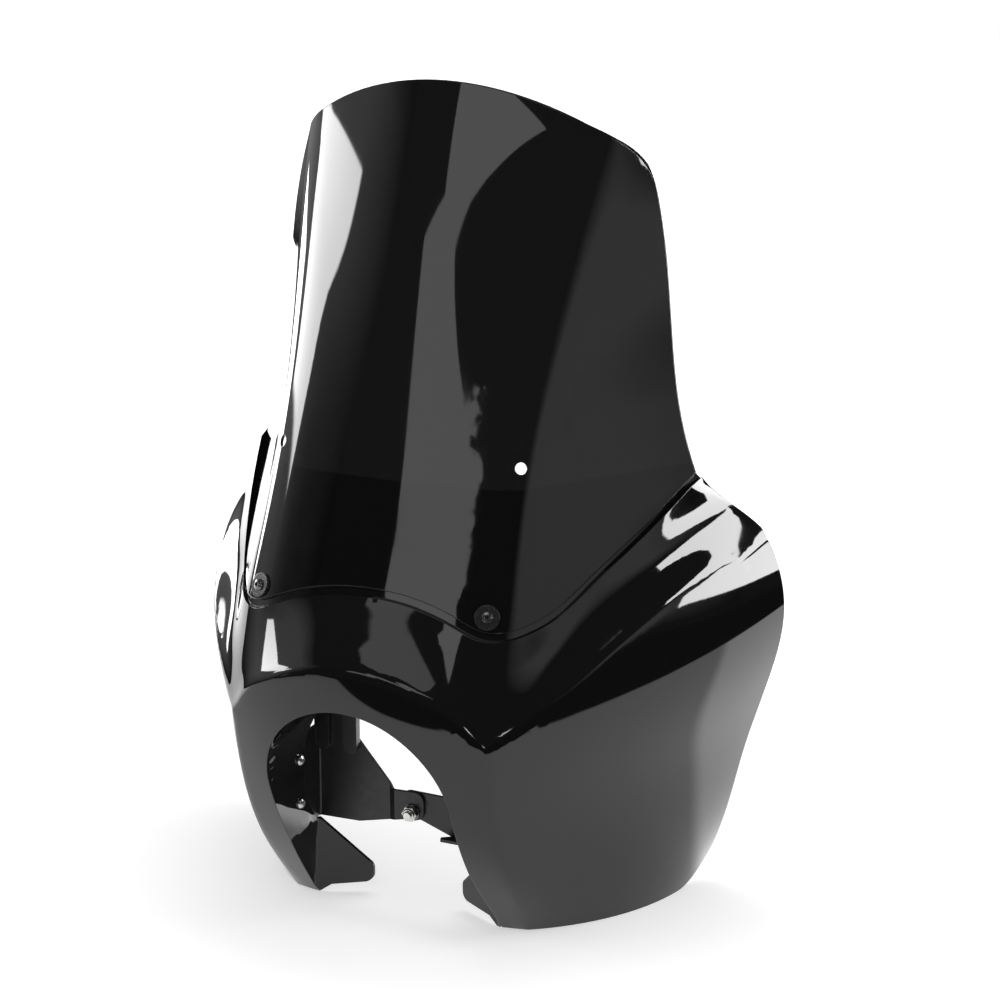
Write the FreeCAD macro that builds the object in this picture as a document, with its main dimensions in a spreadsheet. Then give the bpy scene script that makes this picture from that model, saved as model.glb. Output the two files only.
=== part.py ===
"""Sport fairing for a motorcycle: moulded shell, smoked screen, fixings and fork bracket.

The shell stands as it is photographed, nose down on the floor. X is across, with the
plane of symmetry at X = 0, the nose faces -Y, and Z is up from the floor.
"""
import FreeCAD, Part
import math
import os
import Sketcher

Vector = FreeCAD.Vector

# Planes beyond the piece on each side, for cuts that go right through

AHEAD = 100.0
FAR = 340.0
BELOW = 20.0
ABOVE = 900.0
MASS_BACK = FAR - 20.0
HOLLOW_BACK = FAR - 10.0
DRILL_REACH = 25.0

# Driving dimensions, in millimetres and degrees

SIZES = {
    # shell wall and edges
    "wall": 3.0,
    "crease_radius": 7.0,
    "brow_radius": 10.0,
    # levels of the body sections above the floor
    "level_floor": 0.0,
    "level_shin": 70.0,
    "level_lamp": 140.0,
    "level_brow": 210.0,
    "level_shoulder": 280.0,
    "level_corner": 350.0,
    "level_crown": 430.0,
    # front creases: half width, and how far back they lie at each level
    "crease_half_floor": 120.0,
    "crease_half": 125.0,
    "crease_back_floor": 101.0,
    "crease_back_shin": 48.0,
    "crease_back_lamp": 14.5,
    "crease_back_brow": 0.0,
    "crease_back_shoulder": -4.0,
    "crease_back_corner": -7.0,
    "crease_back_crown": -10.0,
    # how far the face bulges ahead of the creases
    "face_bulge_floor": 14.0,
    "face_bulge_shin": 15.0,
    "face_bulge_lamp": 23.0,
    "face_bulge_brow": 26.0,
    "face_bulge_shoulder": 16.0,
    "face_bulge_corner": 12.0,
    "face_bulge_crown": 10.0,
    # rear edge of the flanks: half width and bulge of the flank at each level
    "rear_back": 285.0,
    "rear_half_floor": 213.0,
    "rear_half_shin": 239.0,
    "rear_half_lamp": 257.0,
    "rear_half_brow": 279.0,
    "rear_half_shoulder": 291.0,
    "rear_half_corner": 267.0,
    "rear_half_crown": 232.0,
    "flank_bulge_floor": 26.0,
    "flank_bulge_shin": 18.0,
    "flank_bulge_lamp": 14.0,
    "flank_bulge_brow": 19.0,
    "flank_bulge_shoulder": 16.0,
    "flank_bulge_corner": 9.0,
    "flank_bulge_crown": 6.0,
    # outline in side view
    "rear_foot_radius": 45.0,
    "rear_corner_drop": 1.0,
    "rear_upper_back": 271.0,
    "rear_upper_rise": 19.0,
    "rear_sweep_back": 250.0,
    "rear_sweep_rise": 41.5,
    "rear_top_back": 239.0,
    "rear_top_rise": 59.0,
    "shell_top_rise": 65.0,
    # headlamp opening and its return flange
    "opening_half": 90.5,
    "opening_half_floor": 96.0,
    "opening_centre_height": 139.0,
    "opening_splay_height": 74.0,
    "return_back": 66.0,
    "return_knee_height": 106.0,
    "return_foot_back": 88.0,
    "return_foot_height": 76.0,
    # tongues that turn in from the feet of the return
    "tongue_turn": 64.0,
    "tongue_bend_radius": 6.0,
    "tongue_tip_half": 46.5,
    "tongue_tip_top": 28.0,
    "tongue_tip_bottom": 11.0,
    "tongue_rise_half": 82.0,
    "tongue_rise": 8.0,
    "tongue_tip_radius": 8.0,
    # brow arch below the screen's lobes, and the shoulder ridges that rise from its corners
    "brow_corner_drop": 93.5,
    "brow_top_rise": 61.0,
    "brow_span": 140.0,
    "ridge_rise_fore": 38.0,
    "ridge_rise_middle": 83.0,
    "ridge_rise_aft": 119.0,
    "ridge_rise_rear": 143.0,
    "flute_depth_fore": 3.0,
    "flute_depth_rear": 7.0,
    # screen: thickness, seat and levels of its sections
    "screen_thickness": 3.0,
    "screen_seat_gap": 0.3,
    "screen_rear_back": 237.0,
    "screen_level_foot": 260.0,
    "screen_level_screw": 314.5,
    "screen_level_hole": 434.0,
    "screen_level_waist": 540.0,
    "screen_level_neck": 650.0,
    "screen_level_crest": 780.0,
    "screen_back_foot": -1.5,
    "screen_back_screw": 21.5,
    "screen_back_hole": 69.5,
    "screen_back_waist": 104.0,
    "screen_back_neck": 134.0,
    "screen_back_crest": 174.0,
    "screen_face_radius_foot": 700.0,
    "screen_face_radius_screw": 700.0,
    "screen_face_radius_hole": 600.0,
    "screen_face_radius_waist": 380.0,
    "screen_face_radius_neck": 260.0,
    "screen_face_radius_crest": 230.0,
    "screen_corner_radius_foot": 60.0,
    "screen_corner_radius_screw": 60.0,
    "screen_corner_radius_hole": 55.0,
    "screen_corner_radius_waist": 80.0,
    "screen_corner_radius_neck": 100.0,
    "screen_corner_radius_crest": 80.0,
    "screen_panel_angle_foot": 53.0,
    "screen_panel_angle_screw": 54.0,
    "screen_panel_angle_hole": 59.0,
    "screen_panel_angle_waist": 58.0,
    "screen_panel_angle_neck": 56.0,
    "screen_panel_angle_crest": 46.0,
    "screen_rear_half_foot": 292.0,
    "screen_rear_half_screw": 269.0,
    "screen_rear_half_hole": 212.0,
    "screen_rear_half_waist": 195.0,
    "screen_rear_half_neck": 181.0,
    "screen_rear_half_crest": 157.0,
    # screen outline: lobes and, risen above them, arch and sides at the foot, rounded top
    "screen_lobe_half": 122.0,
    "screen_lobe_height": 301.5,
    "screen_foot_rise": 26.5,
    "screen_arch_half": 84.0,
    "screen_arch_rise": 11.5,
    "screen_side_rise": 2.0,
    "screen_side_back": 59.0,
    "screen_side_angle": 31.2,
    "screen_top_height": 753.0,
    "screen_top_radius": 262.0,
    "screen_top_corner_half": 182.4,
    "screen_top_corner_height": 645.0,
    "screen_top_corner_radius": 90.0,
    "screen_top_side_angle": 76.0,
    # holes of the screen
    "screen_hole_radius": 5.25,
    "screen_screw_half": 111.8,
    "screen_screw_rise": 13.0,
    "screen_hole_half": 118.0,
    "screen_hole_rise": 132.5,
    # recess for the screen
    "lip_gap_front": 7.0,
    "lip_gap_side": 5.0,
    "lip_rise": 1.0,
    # fork brackets: a folded plate each, joined at the middle
    "bracket_thickness": 3.0,
    "bracket_flange_front": 50.0,
    "bracket_flange_top": 165.0,
    "bracket_back": 100.0,
    "bracket_bottom": 75.0,
    "bracket_top": 212.0,
    "bracket_inner_half": 53.0,
    "bracket_bend_radius": 5.0,
    "bracket_shoulder_height": 157.0,
    "bracket_knee_height": 112.0,
    "bracket_knee_half_right": 16.0,
    "bracket_knee_half_left": 36.0,
    "bracket_sole_half_right": 52.0,
    "bracket_sole_half_left": 46.0,
    "bracket_tab_half": 12.0,
    "bracket_tab_bottom": 88.0,
    "bracket_tab_top": 115.0,
    "bracket_tab_radius": 9.0,
    "bracket_joggle_half": 20.0,
    "foot_tab_half": 36.0,
    "foot_tab_front": 89.0,
    "foot_tab_end_half": 64.0,
    # guide fingers on the bracket, with the fork bolt holes at their heads
    "finger_radius": 7.5,
    "finger_depth": 7.0,
    "finger_half_inner": 58.0,
    "finger_half_outer": 87.0,
    "finger_foot_height": 150.5,
    "fork_hole_height": 198.0,
    "fork_hole_radius": 4.25,
    # fastener clearance
    "hole_clearance": 0.3,
    "seat_clearance": 0.05,
    # small screws: screen and return flange
    "screw_radius": 3.0,
    "screw_head_radius": 5.25,
    "screw_head_height": 3.3,
    "screw_socket_flats": 4.0,
    "screw_socket_depth": 2.0,
    "screen_screw_length": 18.0,
    "flange_screw_length": 16.0,
    "flange_screw_back": 58.5,
    "flange_screw_height_lower": 102.0,
    "flange_screw_height_upper": 144.0,
    "small_nut_flats": 10.0,
    "small_nut_height": 5.0,
    "small_nut_collar_height": 1.6,
    "small_washer_radius": 6.25,
    "small_washer_thickness": 1.2,
    "backing_washer_radius": 8.0,
    # rubber bush between screw and screen
    "bush_flange_radius": 11.0,
    "bush_flange_thickness": 1.8,
    "bush_wall_clearance": 0.15,
    # centre bolt of the brackets
    "bolt_radius": 4.0,
    "bolt_height": 95.0,
    "bolt_across": 4.0,
    "bolt_length": 18.0,
    "bolt_head_flats": 13.0,
    "bolt_head_height": 5.3,
    "bolt_nut_height": 6.5,
    "bolt_nut_collar_height": 1.7,
    "bolt_washer_radius": 8.0,
    "bolt_washer_thickness": 1.4,
    "thread_end_chamfer": 0.6,
}


def build_sheet(document):
    """Write the driving dimensions into a sheet with one alias each."""
    sheet = document.addObject("Spreadsheet::Sheet", "Sizes")
    for row, (alias, value) in enumerate(SIZES.items(), start=1):
        sheet.set(f"A{row}", alias)
        sheet.set(f"B{row}", str(value))
        sheet.setAlias(f"B{row}", alias)
    document.recompute()
    return sheet


document = FreeCAD.newDocument("Fairing")
sheet = build_sheet(document)


def size(alias):
    return float(getattr(sheet, alias))


def ramp(value, points):
    """Straight-line interpolation, carried on past both ends."""
    for (low, at_low), (high, at_high) in zip(points, points[1:]):
        if value <= high or high == points[-1][0]:
            return at_low + (at_high - at_low) * (value - low) / (high - low)


# Body sections: the nose face and the flanks

LEVELS = ("floor", "shin", "lamp", "brow", "shoulder", "corner", "crown")


class BodySection:
    """Level cut through nose and flanks: a face arc, two flank arcs and rounded creases."""

    def __init__(self, height, crease, crease_back, face_bulge, rear_half, flank_bulge):
        self.height = height
        self.crease = Vector(crease, crease_back, 0)
        self.face_radius = (crease ** 2 + face_bulge ** 2) / (2 * face_bulge)
        self.face_centre = Vector(0, crease_back - face_bulge + self.face_radius, 0)
        rear = Vector(rear_half, size("rear_back"), 0)
        chord = rear - self.crease
        self.flank_radius = (chord.Length ** 2 / 4 + flank_bulge ** 2) / (2 * flank_bulge)
        inward = Vector(-chord.y, chord.x, 0).normalize()
        self.flank_centre = (self.crease + rear) * 0.5 + inward * (self.flank_radius - flank_bulge)

    def flank_half(self, back, inset=0.0):
        """Half width of the flank at a distance back."""
        across = (self.flank_radius - inset) ** 2 - (back - self.flank_centre.y) ** 2
        return self.flank_centre.x + math.sqrt(across)

    def face_back(self, half):
        """Distance back of the face at a half width."""
        return self.face_centre.y - math.sqrt(self.face_radius ** 2 - half ** 2)

    def wire(self, inset, back):
        """Closed outline, moved in by the inset and closed by a straight line at the back."""
        face = self.face_radius - inset
        flank = self.flank_radius - inset
        round_radius = size("crease_radius") - inset
        centre = circles_meet(self.face_centre, face - round_radius,
                              self.flank_centre, flank - round_radius, self.crease)
        on_face = centre + (centre - self.face_centre).normalize() * round_radius
        on_flank = centre + (centre - self.flank_centre).normalize() * round_radius
        middle = centre + ((on_face + on_flank) * 0.5 - centre).normalize() * round_radius
        nose = self.face_centre - Vector(0, face, 0)
        rear = Vector(self.flank_half(back, inset), back, 0)
        half = (on_flank + rear) * 0.5 - self.flank_centre
        belly = self.flank_centre + half.normalize() * flank
        lift = Vector(0, 0, self.height)
        right = [p + lift for p in (nose, on_face, middle, on_flank, belly, rear)]
        left = [Vector(-p.x, p.y, p.z) for p in right]
        edges = [
            Part.Arc(left[1], right[0], right[1]).toShape(),
            Part.Arc(right[1], right[2], right[3]).toShape(),
            Part.Arc(right[3], right[4], right[5]).toShape(),
            Part.LineSegment(right[5], left[5]).toShape(),
            Part.Arc(left[5], left[4], left[3]).toShape(),
            Part.Arc(left[3], left[2], left[1]).toShape(),
        ]
        return Part.Wire(edges)


def circles_meet(first, first_radius, second, second_radius, near):
    """The crossing of two circles that lies nearer to a point."""
    apart = second - first
    distance = apart.Length
    along = (first_radius ** 2 - second_radius ** 2 + distance ** 2) / (2 * distance)
    across = math.sqrt(first_radius ** 2 - along ** 2)
    unit = apart * (1 / distance)
    side = Vector(-unit.y, unit.x, 0)
    both = [first + unit * along + side * (across * sign) for sign in (1, -1)]
    return min(both, key=near.distanceToPoint)


def body_value(name, height):
    return ramp(height, [(size("level_" + level), size(f"{name}_{level}")) for level in LEVELS])


def body_section(height):
    floor = (size("level_floor"), size("crease_half_floor"))
    shin = (size("level_shin"), size("crease_half"))
    crease = ramp(min(height, shin[0]), [floor, shin])
    return BodySection(height, crease, body_value("crease_back", height), body_value("face_bulge", height),
                       body_value("rear_half", height), body_value("flank_bulge", height))


def body_solid(inset, below, back):
    heights = [size("level_floor") - below] + [size("level_" + level) for level in LEVELS]
    wires = [body_section(height).wire(inset, back) for height in heights]
    return Part.makeLoft(wires, True)


# Screen sections: a face arc, two corner arcs and flat side panels

SCREEN_LEVELS = ("foot", "screw", "hole", "waist", "neck", "crest")


class ScreenSection:
    """Level cut through the outer skin of the screen."""

    def __init__(self, height, face_back, face_radius, corner_radius, panel_angle, rear_half):
        self.height = height
        self.face_radius = face_radius
        self.corner_radius = corner_radius
        self.face_centre = Vector(0, face_back + face_radius, 0)
        self.turn = math.radians(panel_angle)
        self.panel_normal = Vector(math.sin(self.turn), -math.cos(self.turn), 0)
        self.panel_along = Vector(math.cos(self.turn), math.sin(self.turn), 0)
        self.rear = Vector(rear_half, size("screen_rear_back"), 0)
        reach = self.panel_normal.dot(self.rear - self.face_centre) - corner_radius
        self.face_turn = self.turn - math.acos(reach / (face_radius - corner_radius))
        self.corner_centre = self.face_centre + self.spoke(self.face_turn) * (face_radius - corner_radius)

    def spoke(self, turn):
        return Vector(math.sin(turn), -math.cos(turn), 0)

    def point(self, half, inset=0.0):
        """Point of the skin at a half width."""
        face = self.face_radius - inset
        corner = self.corner_radius - inset
        if half <= face * math.sin(self.face_turn):
            return Vector(half, self.face_centre.y - math.sqrt(face ** 2 - half ** 2), 0)
        if half <= self.corner_centre.x + corner * math.sin(self.turn):
            across = half - self.corner_centre.x
            return Vector(half, self.corner_centre.y - math.sqrt(corner ** 2 - across ** 2), 0)
        start = self.corner_centre + self.panel_normal * corner
        return start + self.panel_along * ((half - start.x) / self.panel_along.x)

    def panel_half(self, back, inset=0.0):
        """Half width of the side panel at a distance back."""
        start = self.corner_centre + self.panel_normal * (self.corner_radius - inset)
        return start.x + (back - start.y) / self.panel_along.y * self.panel_along.x

    def skin(self, inset, back):
        """Points of the right half: middle of the face, corner start, middle and end, rear."""
        face = self.face_radius - inset
        corner = self.corner_radius - inset
        halfway = (self.face_turn + self.turn) / 2
        points = [
            self.face_centre + self.spoke(0) * face,
            self.face_centre + self.spoke(self.face_turn) * face,
            self.corner_centre + self.spoke(halfway) * corner,
            self.corner_centre + self.spoke(self.turn) * corner,
            Vector(self.panel_half(back, inset), back, 0),
        ]
        lift = Vector(0, 0, self.height)
        return [point + lift for point in points]

    def block(self, inset, back):
        """Closed outline of everything behind the skin, as far back as a plane."""
        right = self.skin(inset, back)
        left = mirrored(right)
        return Part.Wire(skin_edges(left, right) + [Part.LineSegment(right[4], left[4]).toShape()])

    def band(self, thickness):
        """Closed outline of the sheet itself."""
        back = size("screen_rear_back")
        outer = self.skin(0.0, back)
        inner = self.skin(thickness, back)
        outer_left, inner_left = mirrored(outer), mirrored(inner)
        edges = skin_edges(outer_left, outer)
        edges.append(Part.LineSegment(outer[4], inner[4]).toShape())
        edges.extend(skin_edges(inner, inner_left))
        edges.append(Part.LineSegment(inner_left[4], outer_left[4]).toShape())
        return Part.Wire(edges)


def mirrored(points):
    return [Vector(-p.x, p.y, p.z) for p in points]


def skin_edges(first, second):
    """Edges across the skin, from the rear of one side to the rear of the other."""
    return [
        Part.LineSegment(first[4], first[3]).toShape(),
        Part.Arc(first[3], first[2], first[1]).toShape(),
        Part.Arc(first[1], second[0], second[1]).toShape(),
        Part.Arc(second[1], second[2], second[3]).toShape(),
        Part.LineSegment(second[3], second[4]).toShape(),
    ]


def screen_value(name, height):
    levels = [(size("screen_level_" + level), size(f"screen_{name}_{level}")) for level in SCREEN_LEVELS]
    return ramp(height, levels)


def screen_section(height):
    names = ("back", "face_radius", "corner_radius", "panel_angle", "rear_half")
    return ScreenSection(height, *[screen_value(name, height) for name in names])


def screen_heights():
    return [size("screen_level_" + level) for level in SCREEN_LEVELS]


def screen_block(inset, back):
    return Part.makeLoft([screen_section(height).block(inset, back) for height in screen_heights()], True)


def screen_sheet():
    bands = [screen_section(height).band(size("screen_thickness")) for height in screen_heights()]
    return Part.makeLoft(bands, True)


# Front-view outline of the screen and of the lip round it

def side_edge_point(back):
    """Front-view point of the rising side edge at a distance back."""
    slope = math.tan(math.radians(size("screen_side_angle")))
    start = size("screen_lobe_height") + size("screen_side_rise")
    height = start + (back - size("screen_side_back")) * slope
    return Vector(screen_section(height).panel_half(back), 0, height)


def foot_points():
    """Right half of the screen's foot in front view, from the centre outwards."""
    first = size("screen_side_back")
    rear = size("screen_rear_back")
    sides = [side_edge_point(first + (rear - first) * share) for share in (0.05, 0.3, 0.6, 1.0, 1.3, 1.6)]
    lobe = size("screen_lobe_height")
    return [
        Vector(0, 0, lobe + size("screen_foot_rise")),
        Vector(size("screen_arch_half"), 0, lobe + size("screen_arch_rise")),
        Vector(size("screen_lobe_half"), 0, lobe),
    ] + sides


def foot_curve(points):
    """Smooth symmetric curve through the right half and its mirror image."""
    left = mirrored(points[1:])[::-1]
    curve = Part.BSplineCurve()
    curve.interpolate(left + points)
    return curve


def lip_points(extra):
    """The foot moved out by the gap to the lip, and by an extra distance."""
    points = foot_points()
    curve = foot_curve(points)
    last = len(points) - 1
    moved = []
    for index, point in enumerate(points):
        tangent = curve.tangent(curve.parameter(point))[0]
        outward = Vector(tangent.z, 0, -tangent.x)
        if outward.z > 0 and index < 3:
            outward = outward * -1
        front_gap = size("lip_gap_front")
        gap = ramp(index, [(0, front_gap), (2, front_gap), (last, size("lip_gap_side"))])
        moved.append(point + outward * (gap + extra))
    return moved


def above(points, back):
    """Everything in front view above a symmetric curve, as far back as a plane."""
    curve = foot_curve(points)
    end = points[-1]
    right_top = Vector(end.x, 0, ABOVE)
    left_top = Vector(-end.x, 0, ABOVE)
    left_end = Vector(-end.x, 0, end.z)
    wire = Part.Wire([
        curve.toShape(),
        Part.LineSegment(end, right_top).toShape(),
        Part.LineSegment(right_top, left_top).toShape(),
        Part.LineSegment(left_top, left_end).toShape(),
    ])
    face = Part.Face(wire)
    face.translate(Vector(0, -AHEAD, 0))
    return face.extrude(Vector(0, back + AHEAD, 0))


# Upper surface of the shell, between the brow or ridge and the lip

REACH = 16.0
RIDGE_SHARES = (0.07, 0.18, 0.33, 0.5, 0.7, 0.86, 1.0, 1.12)


def brow_corner():
    return size("screen_lobe_height") - size("brow_corner_drop")


def brow_top():
    return brow_corner() + size("brow_top_rise")


def brow_height(half):
    """Height of the brow arch, part of an ellipse."""
    span = size("brow_span")
    fall = 1 - math.sqrt(1 - (size("crease_half") / span) ** 2)
    drop = size("brow_top_rise") / fall
    return brow_top() - drop * (1 - math.sqrt(1 - (half / span) ** 2))


def ridge_height(back):
    """Height of the shoulder ridge, which rises backwards from the brow's corner."""
    rear = size("rear_back")
    corner = brow_corner()
    return curve_value(back, [
        (0.0, corner),
        (rear * 0.18, corner + size("ridge_rise_fore")),
        (rear * 0.42, corner + size("ridge_rise_middle")),
        (rear * 0.7, corner + size("ridge_rise_aft")),
        (rear, corner + size("ridge_rise_rear")),
    ])


def curve_value(value, points):
    """Smooth interpolation through points, by the unique polynomial."""
    total = 0.0
    for i, (at_i, height) in enumerate(points):
        for j, (at_j, ignored) in enumerate(points):
            if i != j:
                height = height * (value - at_j) / (at_i - at_j)
        total += height
    return total


def upper_stations():
    """Pairs of brow or ridge point and lip point, with the depth of the flute between them."""
    stations = []
    crease = size("crease_half")
    lobe = size("screen_lobe_half")
    for share in (0.0, 0.36, 0.68, 0.88, 1.0):
        half = crease * share
        height = brow_height(half)
        low = Vector(half, body_section(height).face_back(half), height)
        lip = lip_at_half(lobe * share * 0.94)
        stations.append((low, lip, 0.0))
    for share in RIDGE_SHARES:
        back = size("rear_back") * share
        height = ridge_height(back)
        low = Vector(body_section(height).flank_half(back), back, height)
        depth = ramp(share, [(0.0, 0.0), (0.18, size("flute_depth_fore")), (1.0, size("flute_depth_rear"))])
        start = stations[4][1].y
        stations.append((low, lip_at_back(start + back - start * share), depth))
    return stations


def lip_curve():
    return foot_curve(lip_points(0.0))


def on_screen(point):
    """Put a front-view point on the screen's skin, proud of it by the rise of the lip."""
    skin = screen_section(point.z).point(point.x, -size("lip_rise"))
    return Vector(point.x, skin.y, point.z)


def lip_search(wanted, start):
    """Point of the right half of the lip where a measure reaches zero, by halving."""
    curve = lip_curve()
    low = curve.parameter(start)
    high = curve.LastParameter
    for step in range(40):
        middle = (low + high) / 2
        if wanted(on_screen(curve.value(middle))) < 0:
            low = middle
        else:
            high = middle
    return on_screen(curve.value(low))


def lip_at_half(half):
    return lip_search(lambda point: point.x - half, lip_points(0.0)[0])


def lip_at_back(back):
    return lip_search(lambda point: point.y - back, lip_points(0.0)[2])


def upper_grid():
    """Rows of points across the upper surface, one row for each station."""
    rows = []
    stations = upper_stations()
    lows = [low for low, lip, depth in stations]
    for index, (low, lip, depth) in enumerate(stations):
        along = lows[min(index + 1, len(lows) - 1)] - lows[max(index - 1, 0)]
        if index == 0:
            along = Vector(1, 0, 0)
        across = lip - low
        down = across.cross(along).normalize()
        if down.z > 0:
            down = down * -1
        middle = (low + lip) * 0.5 + down * depth
        out = low + (low - middle).normalize() * REACH
        inner = lip + (lip - middle).normalize() * REACH
        rows.append([out, low, middle, lip, inner])
    left = [mirrored(row) for row in rows[1:]][::-1]
    return left + rows


def upper_face(depth):
    """The upper surface, moved down into the wall by a depth."""
    surface = Part.BSplineSurface()
    surface.interpolate(upper_grid())
    if depth:
        grid = []
        for row in upper_grid():
            moved = []
            for point in row:
                u, v = surface.parameter(point)
                normal = surface.normal(u, v)
                if normal.z > 0:
                    normal = normal * -1
                moved.append(point + normal * depth)
            grid.append(moved)
        surface = Part.BSplineSurface()
        surface.interpolate(grid)
    return surface.toShape()


def outside_upper(depth):
    return upper_face(depth).extrude(Vector(0, 0, ABOVE))


# Outlines that trim the shell

def path_edges(points):
    return [Part.LineSegment(first, second).toShape() for first, second in zip(points, points[1:])]


def prism_across(edges):
    """Solid across the whole width with a side-view outline."""
    face = Part.Face(Part.Wire(edges))
    face.translate(Vector(-FAR, 0, 0))
    return face.extrude(Vector(2 * FAR, 0, 0))


def side_outline():
    """Rear and bottom edges: rounded heel, upright rear edge and raked top corner."""
    rear = size("rear_back")
    corner = brow_corner() + size("ridge_rise_rear") - size("rear_corner_drop")
    heel = size("rear_foot_radius")
    bend = heel * (1 - math.sqrt(0.5))
    points = [
        Vector(0, -FAR, 0),
        Vector(0, rear - heel, 0),
        Vector(0, rear - bend, bend),
        Vector(0, rear, heel),
        Vector(0, rear, corner),
    ]
    sweep = [points[-1]]
    for name in ("rear_upper", "rear_sweep", "rear_top"):
        sweep.append(Vector(0, size(name + "_back"), corner + size(name + "_rise")))
    top = [
        sweep[-1],
        Vector(0, size("rear_top_back"), corner + size("shell_top_rise")),
        Vector(0, -FAR, corner + size("shell_top_rise")),
        points[0],
    ]
    rake = Part.BSplineCurve()
    rake.interpolate(sweep)
    edges = path_edges(points[:2]) + [Part.Arc(*points[1:4]).toShape()] + path_edges(points[3:])
    return prism_across(edges + [rake.toShape()] + path_edges(top))


def opening_face(grow):
    """Front-view outline of the headlamp opening: an arch over splayed legs."""
    half = size("opening_half") + grow
    centre = size("opening_centre_height")
    splay = size("opening_splay_height")
    foot = half + (size("opening_half_floor") - size("opening_half")) * (splay + BELOW) / splay
    left = [Vector(-half, 0, centre), Vector(-half, 0, splay), Vector(-foot, 0, -BELOW)]
    right = mirrored(left)[::-1]
    arch = Part.Arc(right[2], Vector(0, 0, centre + half), left[0]).toShape()
    return Part.Face(Part.Wire(path_edges(left + right) + [arch]))


def opening_tunnel(grow, back):
    face = opening_face(grow)
    face.translate(Vector(0, -AHEAD, 0))
    return face.extrude(Vector(0, back + AHEAD, 0))


def return_outline():
    """Side view of what the return flange may fill."""
    back = size("return_back")
    front = Vector(0, -AHEAD, -2 * BELOW)
    return prism_across(path_edges([
        front,
        Vector(0, size("return_foot_back"), -2 * BELOW),
        Vector(0, size("return_foot_back"), size("return_foot_height")),
        Vector(0, back, size("return_knee_height")),
        Vector(0, back, FAR),
        Vector(0, -AHEAD, FAR),
        front,
    ]))


def largest(shape):
    return max(shape.Solids, key=lambda solid: solid.Volume)


def tongue_band():
    """The return wall of the left side, carried on past its foot and bent inwards."""
    turn = math.radians(size("tongue_turn"))
    radius = size("tongue_bend_radius")
    half = size("opening_half_floor")
    back = size("return_foot_back")
    centre = Vector(half - radius, back, 0)
    heading = Vector(-math.sin(turn), math.cos(turn), 0)
    faces = []
    for arm in (radius, radius + size("wall")):
        bend = centre + Vector(math.cos(turn), math.sin(turn), 0) * arm
        middle = centre + Vector(math.cos(turn / 2), math.sin(turn / 2), 0) * arm
        start = centre + Vector(arm, 0, 0)
        faces.append((start - Vector(0, radius, 0), start, middle, bend, bend + heading * half))
    (a, b, c, d, e), (f, g, k, m, n) = faces
    edges = path_edges([a, b]) + [Part.Arc(b, c, d).toShape()] + path_edges([d, e, n, m])
    edges += [Part.Arc(m, k, g).toShape()] + path_edges([g, f, a])
    splay = (size("opening_half") - half) / size("opening_splay_height")
    height = size("return_foot_height")
    return Part.Face(Part.Wire(edges)).extrude(Vector(splay * height, 0, height))


def tongue():
    """Flap of the left side, with a sloping top edge and a rounded tip."""
    outer = size("opening_half_floor") + size("wall") + 1
    tip = size("tongue_tip_half")
    root = Vector(size("opening_half"), 0, size("return_foot_height"))
    peak = Vector(tip, 0, size("tongue_tip_top"))
    rise = (root.z - peak.z) / (root.x - peak.x)
    corner = Vector(outer, 0, root.z + rise * (outer - root.x))
    foot = Vector(size("opening_half_floor") - 2, 0, 0)
    rise_up = Vector(size("tongue_rise_half"), 0, size("tongue_rise"))
    floor = [Vector(outer, 0, 0), foot, rise_up, Vector(tip, 0, size("tongue_tip_bottom"))]
    outline = Part.Face(Part.Wire(path_edges([corner] + floor + [peak, corner])))
    block = outline.extrude(Vector(0, FAR, 0))
    tips = [edge for edge in block.Edges if edge.Length > FAR - 1 and edge.Vertexes[0].X < tip + 1]
    return tongue_band().common(block.makeFillet(size("tongue_tip_radius"), tips))


def filled_body(inset, back):
    """Nose and flanks below the upper surface, filled, and moved in by the inset."""
    return largest(body_solid(inset, BELOW, back).cut(outside_upper(inset)))


def rolled(body):
    """Round the brow. The roll runs on along both shoulder ridges."""
    def on_brow(edge):
        middle = edge.valueAt((edge.FirstParameter + edge.LastParameter) / 2)
        arch = Vector(0, middle.y, brow_top())
        return edge.Length > size("brow_span") and middle.distanceToPoint(arch) < size("brow_radius")
    return body.makeFillet(size("brow_radius"), [edge for edge in body.Edges if on_brow(edge)])


def seated(body, inset, back):
    """Sink the screen's seat into the body."""
    recess = above(lip_points(inset), back + BELOW)
    seat_inset = size("screen_thickness") + size("screen_seat_gap") + inset
    seat = screen_block(seat_inset, back).common(recess)
    return body.cut(recess).fuse(seat)


def screen_top():
    """Front-view outline under the screen's top: a wide arc, two corner arcs and flaring sides."""
    radius = size("screen_top_radius")
    corner = size("screen_top_corner_radius")
    centre = Vector(0, 0, size("screen_top_height") - radius)
    lean = math.radians(size("screen_top_side_angle"))
    down = Vector(math.cos(lean), 0, -math.sin(lean))
    inward = Vector(-math.sin(lean), 0, -math.cos(lean))
    start = Vector(size("screen_top_corner_half"), 0, size("screen_top_corner_height"))
    foot = start + inward * corner - centre
    along = -down.dot(foot) - math.sqrt((radius - corner) ** 2 - foot.dot(foot) + down.dot(foot) ** 2)
    hub = start + inward * corner + down * along
    on_side = hub - inward * corner
    on_top = centre + (hub - centre).normalize() * radius
    between = hub + ((on_side + on_top) * 0.5 - hub).normalize() * corner
    low = on_side + down * (2 * FAR)
    right = [on_top, between, on_side, low]
    left = mirrored(right)
    edges = [
        Part.Arc(left[0], centre + Vector(0, 0, radius), right[0]).toShape(),
        Part.Arc(*right[:3]).toShape(),
        Part.LineSegment(on_side, low).toShape(),
        Part.LineSegment(low, left[3]).toShape(),
        Part.LineSegment(left[3], left[2]).toShape(),
        Part.Arc(*left[2::-1]).toShape(),
    ]
    face = Part.Face(Part.Wire(edges))
    face.translate(Vector(0, -AHEAD, 0))
    return face.extrude(Vector(0, AHEAD + FAR, 0))


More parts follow.
